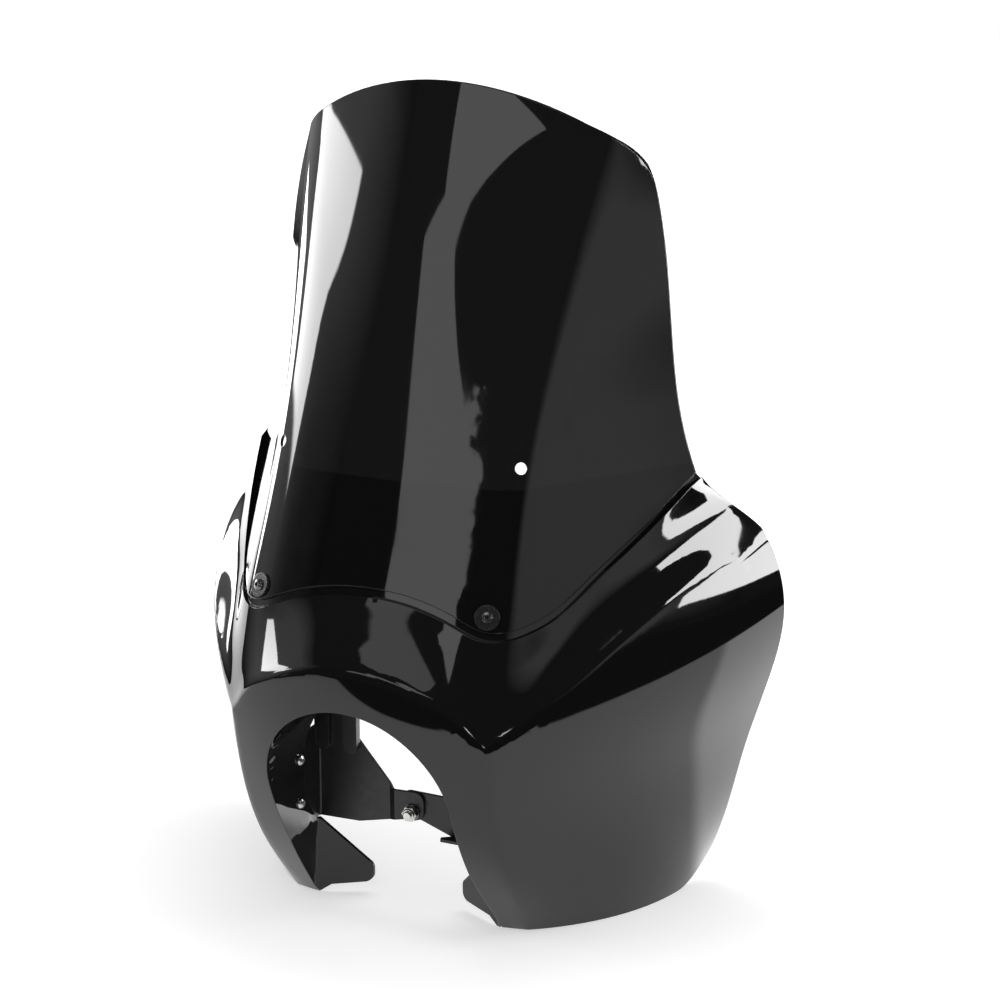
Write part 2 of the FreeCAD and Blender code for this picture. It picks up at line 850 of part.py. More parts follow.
def skin_seat(half, height):
    """Where a level sight line meets the screen's outer skin, and the outward direction there."""
    block = screen_block(0.0, FAR)
    sight = Part.LineSegment(Vector(half, -FAR, height), Vector(half, FAR / 2, height)).toShape()
    point = min((vertex.Point for vertex in block.common(sight).Vertexes), key=lambda place: place.y)
    near = Part.Vertex(point)
    face = min(block.Faces, key=lambda each: each.distToShape(near)[0])
    normal = face.normalAt(*face.Surface.parameter(point))
    return point, normal * math.copysign(1, -normal.y)


def mirror_across(point):
    return Vector(-point.x, point.y, point.z)


def drill(shape, radius, point, direction, reach):
    rod = Part.makeCylinder(radius, 2 * reach, point - direction * reach, direction)
    return shape.cut(rod)


# Document: one object for each piece, all moved so that the origin is below the middle of the box

SIDES = (("right", -1), ("left", 1))
pieces = []


def add_shape(name, shape):
    """A piece whose surfaces are built point by point."""
    piece = document.addObject("Part::Feature", name)
    piece.Label = name
    piece.Shape = shape
    pieces.append(piece)
    return piece


def add_body(name):
    body = document.addObject("PartDesign::Body", name)
    body.Label = name
    pieces.append(body)
    return body


def value(formula):
    return float(sheet.evalExpression(formula))


def sketch_on(body, role, name, lift=None):
    """Sketch on one of the body's own planes, lifted off it by a formula."""
    sketch = body.newObject("Sketcher::SketchObject", f"{body.Name}_{name}")
    plane = next(feature for feature in body.Origin.OriginFeatures if feature.Role == role)
    sketch.AttachmentSupport = [(plane, "")]
    sketch.MapMode = "FlatFace"
    if lift:
        sketch.setExpression("AttachmentOffset.Base.z", lift)
    return sketch


def bind(sketch, constraint, formula):
    index = sketch.addConstraint(constraint)
    sketch.setExpression(f"Constraints[{index}]", formula)


def bind_point(sketch, geometry, vertex, across, along):
    """Tie a point to its two distances from the sketch's origin."""
    bind(sketch, Sketcher.Constraint("DistanceX", -1, 1, geometry, vertex, value(across)), across)
    bind(sketch, Sketcher.Constraint("DistanceY", -1, 1, geometry, vertex, value(along)), along)


def outline(sketch, corners):
    """Closed outline through corners, each given by two formulas."""
    points = [Vector(value(across), value(along), 0) for across, along in corners]
    first = sketch.GeometryCount
    for start, end in zip(points, points[1:] + points[:1]):
        sketch.addGeometry(Part.LineSegment(start, end), False)
    for index, (across, along) in enumerate(corners):
        following = first + (index + 1) % len(corners)
        sketch.addConstraint(Sketcher.Constraint("Coincident", first + index, 2, following, 1))
        bind_point(sketch, first + index, 1, across, along)


def circle(sketch, across, along, radius):
    centre = Vector(value(across), value(along), 0)
    index = sketch.addGeometry(Part.Circle(centre, Vector(0, 0, 1), value(radius)), False)
    bind_point(sketch, index, 3, across, along)
    bind(sketch, Sketcher.Constraint("Radius", index, value(radius)), radius)


def hexagon(sketch, flats):
    corners = []
    for step in range(6):
        turn = f"{60 * step} deg"
        reach = f"{flats} / 2 / cos(30 deg)"
        corners.append((f"{reach} * cos({turn})", f"{reach} * sin({turn})"))
    outline(sketch, corners)


def pad(body, sketch, length, reverse=False):
    feature = body.newObject("PartDesign::Pad", sketch.Name + "_pad")
    feature.Profile = sketch
    feature.setExpression("Length", length)
    feature.Reversed = reverse
    sketch.Visibility = False
    return feature


def pocket(body, sketch, length, reverse=False):
    feature = body.newObject("PartDesign::Pocket", sketch.Name + "_pocket")
    feature.Profile = sketch
    feature.setExpression("Length", length)
    feature.Reversed = reverse
    return feature


def round_edges(body, name, radius, wanted):
    """Fillet the edges that satisfy a test on their two ends."""
    document.recompute()
    base = body.Tip
    names = []
    for index, edge in enumerate(base.Shape.Edges, start=1):
        ends = [vertex.Point for vertex in edge.Vertexes]
        if len(ends) == 2 and wanted(*ends):
            names.append(f"Edge{index}")
    feature = body.newObject("PartDesign::Fillet", f"{body.Name}_{name}")
    feature.Base = (base, names)
    feature.setExpression("Radius", radius)
    document.recompute()
    return feature


def upright(first, second):
    return math.hypot(second.x - first.x, second.y - first.y) < 0.01


def turned(body, name, corners):
    """Ring or pin turned round the body's own Z axis from an outline of radius and height."""
    sketch = sketch_on(body, "XZ_Plane", name)
    outline(sketch, corners)
    feature = body.newObject("PartDesign::Revolution", sketch.Name + "_turned")
    feature.Profile = sketch
    feature.ReferenceAxis = (sketch, ["V_Axis"])
    feature.Angle = 360.0
    return feature


# Fasteners, each along its own Z axis with the seat of its head or face at zero

def button_screw(name, length):
    """Round-headed screw with a hexagon socket."""
    body = add_body(name)
    turned(body, "profile", [
        ("0", "Sizes.screw_head_height"),
        ("Sizes.screw_head_radius * 0.45", "Sizes.screw_head_height"),
        ("Sizes.screw_head_radius * 0.86", "Sizes.screw_head_height * 0.66"),
        ("Sizes.screw_head_radius", "Sizes.screw_head_height * 0.2"),
        ("Sizes.screw_head_radius", "0"),
        ("Sizes.screw_radius", "0"),
        ("Sizes.screw_radius", f"Sizes.thread_end_chamfer - {length}"),
        ("Sizes.screw_radius - Sizes.thread_end_chamfer", f"-{length}"),
        ("0", f"-{length}"),
    ])
    socket = sketch_on(body, "XY_Plane", "socket", "Sizes.screw_head_height")
    hexagon(socket, "Sizes.screw_socket_flats")
    pocket(body, socket, "Sizes.screw_socket_depth")
    return body


def lock_nut(name, flats, height, collar, bore):
    """Hexagon nut with a round locking collar, built downwards from its face."""
    body = add_body(name)
    faces = sketch_on(body, "XY_Plane", "faces")
    hexagon(faces, flats)
    circle(faces, "0", "0", bore)
    pad(body, faces, f"{height} - {collar}", True)
    turned(body, "collar", [
        (bore, f"{collar} - {height}"),
        (f"{flats} * 0.46", f"{collar} - {height}"),
        (f"{flats} * 0.46", f"{collar} * 0.5 - {height}"),
        (f"{flats} * 0.4", f"-({height})"),
        (bore, f"-({height})"),
    ])
    return body


def washer(name, radius, thickness, bore):
    body = add_body(name)
    ring = sketch_on(body, "XY_Plane", "ring")
    circle(ring, "0", "0", radius)
    circle(ring, "0", "0", bore)
    pad(body, ring, thickness, True)
    return body


def hexagon_bolt(name):
    body = add_body(name)
    head = sketch_on(body, "XY_Plane", "head")
    hexagon(head, "Sizes.bolt_head_flats")
    pad(body, head, "Sizes.bolt_head_height")
    turned(body, "shank", [
        ("0", "0"),
        ("Sizes.bolt_radius", "0"),
        ("Sizes.bolt_radius", "Sizes.thread_end_chamfer - Sizes.bolt_length"),
        ("Sizes.bolt_radius - Sizes.thread_end_chamfer", "-Sizes.bolt_length"),
        ("0", "-Sizes.bolt_length"),
    ])
    return body


SCREW_BORE = "Sizes.screw_radius + Sizes.hole_clearance"
BOLT_BORE = "Sizes.bolt_radius + Sizes.hole_clearance"
SMALL_NUT = ("Sizes.small_nut_flats", "Sizes.small_nut_height", "Sizes.small_nut_collar_height",
             "Sizes.screw_radius")
BOLT_NUT = ("Sizes.bolt_head_flats", "Sizes.bolt_nut_height", "Sizes.bolt_nut_collar_height",
            "Sizes.bolt_radius")


# Fork brackets

def bracket(name, sign):
    """Folded plate: a side flange against the return wall, an ear, and a tab to the middle."""
    def at(formula):
        return formula if sign > 0 else f"-({formula})"

    side = "right" if sign < 0 else "left"
    wall_face = "(Sizes.opening_half + Sizes.wall)"
    outer_face = f"({wall_face} + Sizes.bracket_thickness)"
    front = "Sizes.bracket_back"
    back = f"({front} + Sizes.bracket_thickness)"
    body = add_body(name)

    tab_end = f"Sizes.bolt_across - {sign} * Sizes.bracket_tab_half"
    past_tab = at("-(Sizes.bracket_tab_half + Sizes.bolt_across + 1)")
    joggle_end = "Sizes.bracket_joggle_half - 2 * Sizes.bracket_thickness"
    plan = sketch_on(body, "XY_Plane", "plan", "Sizes.bracket_bottom")
    corners = [
        (at(wall_face), "Sizes.bracket_flange_front"),
        (at(outer_face), "Sizes.bracket_flange_front"),
        (at(outer_face), back),
    ]
    if sign < 0:
        corners += [
            (at("Sizes.bracket_joggle_half"), back),
            (at(joggle_end), front),
            (tab_end, front),
            (tab_end, f"{front} - Sizes.bracket_thickness"),
            (at(joggle_end), f"{front} - Sizes.bracket_thickness"),
            (at("Sizes.bracket_joggle_half"), front),
        ]
    else:
        corners += [(tab_end, back), (tab_end, front)]
    corners.append((at(wall_face), front))
    outline(plan, corners)
    pad(body, plan, "Sizes.bracket_top - Sizes.bracket_bottom")
    inner, outer, bend = value(wall_face), value(outer_face), value(front)
    round_edges(body, "bend_outside", "Sizes.bracket_bend_radius",
                lambda a, b: abs(abs(a.x) - outer) < 0.01 and a.y > bend + 1 and upright(a, b))
    round_edges(body, "bend_inside", "Sizes.bracket_bend_radius - Sizes.bracket_thickness",
                lambda a, b: abs(abs(a.x) - inner) < 0.01 and abs(a.y - bend) < 0.01 and upright(a, b))

    face = sketch_on(body, "XZ_Plane", "face")
    margin = "20"
    frame_half = f"({outer_face} + {margin})"
    outline(face, [
        (f"-{frame_half}", f"Sizes.bracket_bottom - {margin}"),
        (frame_half, f"Sizes.bracket_bottom - {margin}"),
        (frame_half, f"Sizes.bracket_top + {margin}"),
        (f"-{frame_half}", f"Sizes.bracket_top + {margin}"),
    ])
    outline(face, [
        (at(f"{outer_face} + 1"), "Sizes.bracket_bottom + 0.01"),
        (at(f"Sizes.bracket_sole_half_{side}"), "Sizes.bracket_bottom + 1"),
        (at("-0.1") if sign < 0 else "Sizes.bracket_tab_half", "Sizes.bracket_tab_bottom"),
        (past_tab, "Sizes.bracket_tab_bottom"),
        (past_tab, "Sizes.bracket_tab_top"),
        (at(f"Sizes.bracket_knee_half_{side}"), "Sizes.bracket_knee_height + 2"),
        (at("Sizes.bracket_inner_half"), "Sizes.bracket_shoulder_height"),
        (at("Sizes.bracket_inner_half"), "Sizes.bracket_top - 0.01"),
        (at(f"{outer_face} + 1"), "Sizes.bracket_top - 0.01"),
    ])
    pocket(body, face, "Sizes.bracket_back * 2")
    tab = value(tab_end)
    round_edges(body, "tab_end", "Sizes.bracket_tab_radius",
                lambda a, b: abs(a.x - tab) < 0.01 and abs(b.x - a.x) + abs(b.z - a.z) < 0.01)

    side_cut = sketch_on(body, "YZ_Plane", "flange_top")
    outline(side_cut, [
        ("Sizes.bracket_flange_front - 5", "Sizes.bracket_flange_top"),
        (front, "Sizes.bracket_flange_top"),
        (front, "Sizes.bracket_top + 5"),
        ("Sizes.bracket_flange_front - 5", "Sizes.bracket_top + 5"),
    ])
    pocket(body, side_cut, f"{outer_face} + 5", sign > 0)

    tips = sketch_on(body, "XZ_Plane", "finger_tips", f"-{front}")
    stems = sketch_on(body, "XZ_Plane", "finger_stems", f"-{front}")
    for half in ("Sizes.finger_half_inner", "Sizes.finger_half_outer"):
        circle(tips, at(half), "Sizes.finger_foot_height", "Sizes.finger_radius")
        outline(stems, [
            (f"{at(half)} - Sizes.finger_radius", "Sizes.finger_foot_height"),
            (f"{at(half)} + Sizes.finger_radius", "Sizes.finger_foot_height"),
            (f"{at(half)} + Sizes.finger_radius", "Sizes.bracket_top - 0.01"),
            (f"{at(half)} - Sizes.finger_radius", "Sizes.bracket_top - 0.01"),
        ])
    pad(body, tips, "Sizes.finger_depth")
    pad(body, stems, "Sizes.finger_depth")

    if sign > 0:
        foot = sketch_on(body, "XY_Plane", "foot_tab", "Sizes.bracket_bottom")
        outline(foot, [
            ("Sizes.bracket_sole_half_left - 1", front),
            ("Sizes.foot_tab_half", "Sizes.foot_tab_front + 4"),
            ("Sizes.foot_tab_half + 1", "Sizes.foot_tab_front"),
            ("Sizes.foot_tab_end_half", "Sizes.foot_tab_front"),
            ("Sizes.foot_tab_end_half + 6", front),
        ])
        pad(body, foot, "Sizes.bracket_thickness")

    holes = sketch_on(body, "XZ_Plane", "bolt_holes")
    circle(holes, "Sizes.bolt_across", "Sizes.bolt_height", BOLT_BORE)
    for half in ("Sizes.finger_half_inner", "Sizes.finger_half_outer"):
        circle(holes, at(half), "Sizes.fork_hole_height", "Sizes.fork_hole_radius")
    pocket(body, holes, "Sizes.bracket_back * 2")
    flange_holes = sketch_on(body, "YZ_Plane", "flange_holes")
    for level in ("lower", "upper"):
        circle(flange_holes, "Sizes.flange_screw_back", f"Sizes.flange_screw_height_{level}", SCREW_BORE)
    pocket(body, flange_holes, f"{outer_face} + 5", sign > 0)
    return body


# Assembly

def build_shell(seats):
    mass = seated(rolled(filled_body(0.0, MASS_BACK)), 0.0, MASS_BACK)
    mass = mass.common(side_outline()).cut(opening_tunnel(0.0, FAR))
    ring = opening_tunnel(size("wall"), FAR).common(return_outline())
    cavity = seated(filled_body(size("wall"), HOLLOW_BACK), size("wall"), HOLLOW_BACK).cut(ring)
    flap = tongue().common(filled_body(0.0, MASS_BACK))
    shell = largest(mass.cut(cavity)).fuse([flap, flap.mirror(Vector(0, 0, 0), Vector(1, 0, 0))])
    bore = size("screw_radius") + size("hole_clearance")
    for point, normal in seats:
        shell = drill(shell, bore, point, normal, DRILL_REACH)
    across = Vector(1, 0, 0)
    for level in ("lower", "upper"):
        place = Vector(0, size("flange_screw_back"), size(f"flange_screw_height_{level}"))
        shell = drill(shell, bore, place, across, size("opening_half") + size("wall") + 2)
    return largest(shell.removeSplitter())


def build_screen(holes):
    top = above(foot_points(), FAR)
    screen = screen_sheet().common(top).common(screen_top())
    for point, normal in holes:
        screen = drill(screen, size("screen_hole_radius"), point, normal, DRILL_REACH)
    return largest(screen)


def bush(point, normal):
    """Rubber bush: a flange bent to the screen's skin, and a sleeve down through its hole."""
    flange = size("bush_flange_thickness")
    radius = size("bush_flange_radius")
    disc = Part.makeCylinder(radius, flange + 6, point - normal * 6, normal)
    disc = disc.cut(screen_block(0.0, FAR))
    sleeve_radius = size("screen_hole_radius") - size("bush_wall_clearance")
    depth = size("screen_thickness")
    sleeve = Part.makeCylinder(sleeve_radius, depth + 1, point - normal * depth, normal)
    bore = size("screw_radius") + size("hole_clearance") / 2
    return drill(disc.fuse(sleeve), bore, point, normal, DRILL_REACH)


def place(body, point, direction):
    body.Placement = FreeCAD.Placement(point, FreeCAD.Rotation(Vector(0, 0, 1), direction))


def build_screen_fixing(side, point, normal):
    """Screw, bush, backing washer and lock nut at one lower corner of the screen."""
    add_shape(f"{side}_screen_bush", bush(point, normal))
    screw = button_screw(f"{side}_screen_screw", "Sizes.screen_screw_length")
    place(screw, point + normal * (size("bush_flange_thickness") + size("seat_clearance")), normal)
    inner = size("screen_thickness") + size("screen_seat_gap") + size("wall")
    hollow = size("screen_corner_radius_screw") - inner
    seat = inner + size("backing_washer_radius") ** 2 / (2 * hollow) + size("seat_clearance")
    backing = washer(f"{side}_screen_washer", "Sizes.backing_washer_radius",
                     "Sizes.small_washer_thickness", SCREW_BORE)
    place(backing, point - normal * seat, normal)
    nut = lock_nut(f"{side}_screen_nut", *SMALL_NUT)
    place(nut, point - normal * (seat + size("small_washer_thickness")), normal)


def build_flange_fixing(side, sign, level):
    """Screw, washer and lock nut that hold a bracket's side flange to the return wall."""
    height = size(f"flange_screw_height_{level}")
    rise = max(0.0, height + size("screw_head_radius") - size("opening_centre_height"))
    face = math.sqrt(size("opening_half") ** 2 - rise ** 2)
    inward = Vector(-sign, 0, 0)
    seat = Vector(sign * face, size("flange_screw_back"), height)
    screw = button_screw(f"{side}_{level}_flange_screw", "Sizes.flange_screw_length")
    place(screw, seat, inward)
    outer = size("opening_half") + size("wall") + size("bracket_thickness")
    ring = washer(f"{side}_{level}_flange_washer", "Sizes.small_washer_radius",
                  "Sizes.small_washer_thickness", SCREW_BORE)
    place(ring, Vector(sign * outer, seat.y, height), inward)
    nut = lock_nut(f"{side}_{level}_flange_nut", *SMALL_NUT)
    place(nut, Vector(sign * (outer + size("small_washer_thickness")), seat.y, height), inward)


def build_centre_joint():
    """Bolt from behind through both tabs, with a washer each side and a lock nut in front."""
    rear = Vector(0, 1, 0)
    centre = Vector(size("bolt_across"), size("bracket_back"), size("bolt_height"))
    sheet_back = size("bracket_thickness")
    ring = size("bolt_washer_thickness")
    bolt = hexagon_bolt("centre_bolt")
    place(bolt, centre + rear * (sheet_back + ring), rear)
    for name, back in (("centre_rear_washer", sheet_back + ring), ("centre_front_washer", -sheet_back)):
        body = washer(name, "Sizes.bolt_washer_radius", "Sizes.bolt_washer_thickness", BOLT_BORE)
        place(body, centre + rear * back, rear)
    nut = lock_nut("centre_nut", *BOLT_NUT)
    place(nut, centre - rear * (sheet_back + ring), rear)


def move_to_origin(shell):
    """Shift every piece so that the origin lies below the middle of the shell's box."""
    box = shell.Shape.optimalBoundingBox(True, False)
    shift = FreeCAD.Placement(Vector(0, -(box.YMin + box.YMax) / 2, 0), FreeCAD.Rotation())
    for piece in pieces:
        piece.Placement = shift.multiply(piece.Placement)


def check_document():
    for item in document.Objects:
        if "Invalid" in item.State or "Error" in item.State:
            raise RuntimeError(f"{item.Name} did not build: {item.State}")
    for piece in pieces:
        if piece.Shape.isNull() or not piece.Shape.isValid():
            raise RuntimeError(f"{piece.Label} has no valid shape")


def main():
    lobe = size("screen_lobe_height")
    screw_point, screw_normal = skin_seat(size("screen_screw_half"), lobe + size("screen_screw_rise"))
    hole_point, hole_normal = skin_seat(size("screen_hole_half"), lobe + size("screen_hole_rise"))
    seats = {
        "left": (screw_point, screw_normal),
        "right": (mirror_across(screw_point), mirror_across(screw_normal)),
    }
    spare = [(hole_point, hole_normal), (mirror_across(hole_point), mirror_across(hole_normal))]
    shell = add_shape("fairing_shell", build_shell(list(seats.values())))
    add_shape("windscreen", build_screen(list(seats.values()) + spare))
    for side, sign in SIDES:
        bracket(f"{side}_bracket", sign)
        build_screen_fixing(side, *seats[side])
        for level in ("lower", "upper"):
            build_flange_fixing(side, sign, level)
    build_centre_joint()
    document.recompute()
    move_to_origin(shell)
    document.recompute()
    check_document()
    os.makedirs("parts", exist_ok=True)
    for piece in pieces:
        piece.Shape.exportStep(f"parts/{piece.Label}.step")
        box = piece.Shape.BoundBox
        print(piece.Label, len(piece.Shape.Solids), round(piece.Shape.Volume), box)


main()
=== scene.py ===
"""Looks of a motorcycle fairing: gloss shell, smoked screen, fork brackets and their fixings.

The fairing stands nose down on a pale floor, as it was photographed. Everything is in metres,
in the frame of the construction model: X across, the nose towards -Y, Z up.
"""

import logging
import math
from dataclasses import dataclass, field
from enum import Enum
from typing import Iterable, Optional, Union

import bmesh
import bpy
import numpy as np
from mathutils import Matrix, Vector
from mathutils.kdtree import KDTree

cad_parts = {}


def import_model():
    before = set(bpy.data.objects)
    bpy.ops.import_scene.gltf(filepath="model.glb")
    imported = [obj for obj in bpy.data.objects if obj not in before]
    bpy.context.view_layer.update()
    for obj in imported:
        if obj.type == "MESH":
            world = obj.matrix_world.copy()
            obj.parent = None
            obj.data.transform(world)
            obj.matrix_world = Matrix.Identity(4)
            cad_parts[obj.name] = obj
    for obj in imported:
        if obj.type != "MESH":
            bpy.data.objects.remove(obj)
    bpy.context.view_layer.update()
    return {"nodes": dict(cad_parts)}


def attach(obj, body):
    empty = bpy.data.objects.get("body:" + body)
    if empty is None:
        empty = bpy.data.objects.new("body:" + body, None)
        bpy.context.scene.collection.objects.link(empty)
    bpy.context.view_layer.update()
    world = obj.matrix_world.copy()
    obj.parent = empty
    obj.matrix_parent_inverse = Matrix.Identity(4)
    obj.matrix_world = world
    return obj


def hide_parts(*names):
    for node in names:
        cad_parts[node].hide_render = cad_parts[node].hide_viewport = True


LOG = logging.getLogger("fairing")
BLACK = (0.0, 0.0, 0.0)
WHITE = (1.0, 1.0, 1.0)
EDGE_SAMPLES = 6
Value = Union["Channel", int, float]
Colour = Union["Channel", tuple]


class Blend(Enum):
    """Maths operations that the finishes use."""

    ADD = "ADD"
    SUBTRACT = "SUBTRACT"
    MULTIPLY = "MULTIPLY"
    DIVIDE = "DIVIDE"
    POWER = "POWER"
    MAXIMUM = "MAXIMUM"
    MINIMUM = "MINIMUM"


class Channel:
    """A socket whose number can be written in plain arithmetic."""

    def __init__(self, graph: "Graph", socket: Optional[bpy.types.NodeSocket]) -> None:
        """Keep the socket and its graph.

        Args:
            graph: Node graph that the socket belongs to.
            socket: Output socket that carries the value, if the node has one.
        """
        self.graph = graph
        self.socket = socket

    def _with(self, kind: Blend, first: Value, second: Value) -> "Channel":
        """Add one Math node."""
        return self.graph.node("ShaderNodeMath", {"operation": kind.value}, {0: first, 1: second})

    def __add__(self, other: Value) -> "Channel":
        """Sum."""
        return self._with(Blend.ADD, self, other)

    def __radd__(self, other: Value) -> "Channel":
        """Sum with the plain number first."""
        return self._with(Blend.ADD, other, self)

    def __sub__(self, other: Value) -> "Channel":
        """Difference."""
        return self._with(Blend.SUBTRACT, self, other)

    def __rsub__(self, other: Value) -> "Channel":
        """Difference with the plain number first."""
        return self._with(Blend.SUBTRACT, other, self)

    def __mul__(self, other: Value) -> "Channel":
        """Product."""
        return self._with(Blend.MULTIPLY, self, other)

    def __rmul__(self, other: Value) -> "Channel":
        """Product with the plain number first."""
        return self._with(Blend.MULTIPLY, other, self)

    def __truediv__(self, other: Value) -> "Channel":
        """Quotient."""
        return self._with(Blend.DIVIDE, self, other)

    def __pow__(self, other: Value) -> "Channel":
        """Power."""
        return self._with(Blend.POWER, self, other)

    def highest(self, other: Value) -> "Channel":
        """The larger of two numbers."""
        return self._with(Blend.MAXIMUM, self, other)

    def lowest(self, other: Value) -> "Channel":
        """The smaller of two numbers."""
        return self._with(Blend.MINIMUM, self, other)


class Graph:
    """Nodes of one material or world, added through a single method."""

    def __init__(self, tree: bpy.types.NodeTree) -> None:
        """Empty the tree.

        Args:
            tree: Node tree to fill.
        """
        self.tree = tree
        tree.nodes.clear()

    def node(self, kind: str, settings: Optional[dict] = None, sockets: Optional[dict] = None,
             output: Union[int, str] = 0) -> Channel:
        """Add a node.

        Args:
            kind: Type name of the node.
            settings: Attributes to set first, with "stops" for the stops of a ramp.
            sockets: Values or channels for the input sockets.
            output: Name or index of the output that is returned.

        Returns:
            Channel on the chosen output, with no socket where the node has no output.
        """
        made = self.tree.nodes.new(kind)
        for name, value in (settings or {}).items():
            if name == "stops":
                self._stops(made.color_ramp, value)
            else:
                setattr(made, name, value)
        for name, value in (sockets or {}).items():
            self._feed(made.inputs[name], value)
        return Channel(self, made.outputs[output] if len(made.outputs) else None)

    def _stops(self, ramp: bpy.types.ColorRamp, stops: Iterable[tuple]) -> None:
        """Give a ramp its stops, each a position and a grey."""
        while len(ramp.elements) > 1:
            ramp.elements.remove(ramp.elements[-1])
        for index, (position, grey) in enumerate(stops):
            element = ramp.elements[0] if index == 0 else ramp.elements.new(position)
            element.position = position
            element.color = (grey, grey, grey, 1.0)

    def _feed(self, socket: bpy.types.NodeSocket, value: object) -> None:
        """Link a channel to a socket, or write a plain value on it."""
        if isinstance(value, Channel):
            self.tree.links.new(value.socket, socket)
        elif isinstance(value, tuple) and len(value) == 3 and socket.type == "RGBA":
            socket.default_value = (*value, 1.0)
        else:
            socket.default_value = value

    def place(self) -> Channel:
        """Position on the piece, in metres."""
        return self.node("ShaderNodeTexCoord", output="Object")

    def parts(self, spot: Channel) -> tuple:
        """The three numbers of a vector."""
        split = self.node("ShaderNodeSeparateXYZ", None, {"Vector": spot})
        return tuple(Channel(self, output) for output in split.socket.node.outputs)

    def rays(self) -> tuple:
        """Three channels that are one for the eye, for what lies behind the screen, and for the gloss."""
        path = self.node("ShaderNodeLightPath")
        outputs = path.socket.node.outputs
        kinds = ("Camera", "Transmission", "Glossy")
        return tuple(Channel(self, outputs[f"Is {kind} Ray"]) for kind in kinds)

    def mix(self, share: Value, first: Colour, second: Colour) -> Channel:
        """Colour between two colours.

        Args:
            share: Share of the second colour.
            first: Colour at a share of nothing.
            second: Colour at a share of one.

        Returns:
            Channel of the colour.
        """
        ends = [(*colour, 1.0) if isinstance(colour, tuple) else colour for colour in (first, second)]
        return self.node("ShaderNodeMix", {"data_type": "RGBA", "clamp_factor": False},
                         {0: share, 6: ends[0], 7: ends[1]}, 2)

    def noise(self, waves: float, octaves: float = 2.0) -> Channel:
        """Soft noise between 0 and 1.

        Args:
            waves: Waves in a metre.
            octaves: Octaves of finer noise.

        Returns:
            Channel of the noise.
        """
        return self.node("ShaderNodeTexNoise", None,
                         {"Vector": self.place(), "Scale": waves, "Detail": octaves})

    def step(self, value: Channel, start: float, end: float) -> Channel:
        """Rise smoothly from nothing at the start to one at the end."""
        return self.node("ShaderNodeMapRange", {"interpolation_type": "SMOOTHSTEP"},
                         {"Value": value, "From Min": start, "From Max": end})

    def ramp(self, value: Channel, stops: Iterable[tuple]) -> Channel:
        """Pass a number through a ramp of greys."""
        return self.node("ShaderNodeValToRGB", {"stops": stops}, {"Fac": value})

    def bump(self, height: Channel, distance: float, edge: float) -> Channel:
        """Normal that follows a height and rounds the edges.

        Args:
            height: Height between 0 and 1.
            distance: Height of the relief in metres.
            edge: Radius of the rounded edges in metres.

        Returns:
            Channel of the normal.
        """
        rounded = self.node("ShaderNodeBevel", {"samples": EDGE_SAMPLES}, {"Radius": edge})
        return self.node("ShaderNodeBump", None, {"Height": height, "Distance": distance, "Normal": rounded})

    def surface(self, **sockets: Union[Value, Colour]) -> None:
        """Principled surface from its sockets' names in lower case, joined to the output."""
        named = {name.replace("_", " ").title().replace("Ior", "IOR"): value
                 for name, value in sockets.items()}
        shader = self.node("ShaderNodeBsdfPrincipled", None, named)
        self.node("ShaderNodeOutputMaterial", None, {"Surface": shader})


@dataclass(frozen=True)
class Drift:
    """Slow change of a colour over the surface.

    Attributes:
        waves: Waves in a metre.
        spread: Share by which the lightest and the darkest places differ from the colour.
    """

    waves: float
    spread: float


@dataclass(frozen=True)
class Polish:
    """Roughness that changes over the surface.

    Attributes:
        waves: Waves in a metre.
        octaves: Octaves of finer noise.
        smooth: Least roughness.
        rough: Greatest roughness.
        start: Noise up to which the surface is smoothest.
        end: Noise from which it is roughest.
    """

    waves: float
    octaves: float
    smooth: float
    rough: float
    start: float = 0.3
    end: float = 0.7


@dataclass(frozen=True)
class Relief:
    """Fine unevenness of a surface, and how far its sharp edges are rounded.

    Attributes:
        waves: Waves in a metre.
        octaves: Octaves of finer noise.
        height: Height of the unevenness in metres.
        edge: Radius of the rounded edges in metres.
    """

    waves: float
    octaves: float
    height: float
    edge: float


@dataclass(frozen=True)
class Finish:
    """A named finish with its base colour."""

    name: str
    colour: tuple

    def material(self) -> bpy.types.Material:
        """Material of this finish, made once."""
        known = bpy.data.materials.get(self.name)
        if known is not None:
            return known
        made = bpy.data.materials.new(self.name)
        made.use_nodes = True
        made.diffuse_color = (*self.colour, 1.0)
        self.paint(Graph(made.node_tree))
        return made

    def paint(self, graph: Graph) -> None:
        """Fill the graph. Each kind of finish has its own way."""
        raise NotImplementedError

    def varied(self, graph: Graph, drift: Drift) -> Channel:
        """Base colour with a slight variation.

        Args:
            graph: Graph to add to.
            drift: Size of the places that differ, and how far they do.

        Returns:
            Channel of the colour.
        """
        dark = tuple(part * (1.0 - drift.spread) for part in self.colour)
        light = tuple(min(1.0, part * (1.0 + drift.spread)) for part in self.colour)
        return graph.mix(graph.noise(drift.waves), dark, light)


@dataclass(frozen=True)
class Coat(Finish):
    """Finish of the object's own pieces: a drifting colour, an uneven polish and a fine relief."""

    drift: Drift
    polish: Polish
    relief: Relief
    metallic: float = 0.0
    ior: float = 1.5
    cover: float = 1.0

    def paint(self, graph: Graph) -> None:
        """Fill the graph from the finish's own values."""
        polish, relief = self.polish, self.relief
        roughness = graph.ramp(graph.noise(polish.waves, polish.octaves),
                               [(polish.start, polish.smooth), (polish.end, polish.rough)])
        normal = graph.bump(graph.noise(relief.waves, relief.octaves), relief.height, relief.edge)
        graph.surface(base_color=self.varied(graph, self.drift), metallic=self.metallic, roughness=roughness,
                      ior=self.ior, alpha=self.cover, normal=normal)


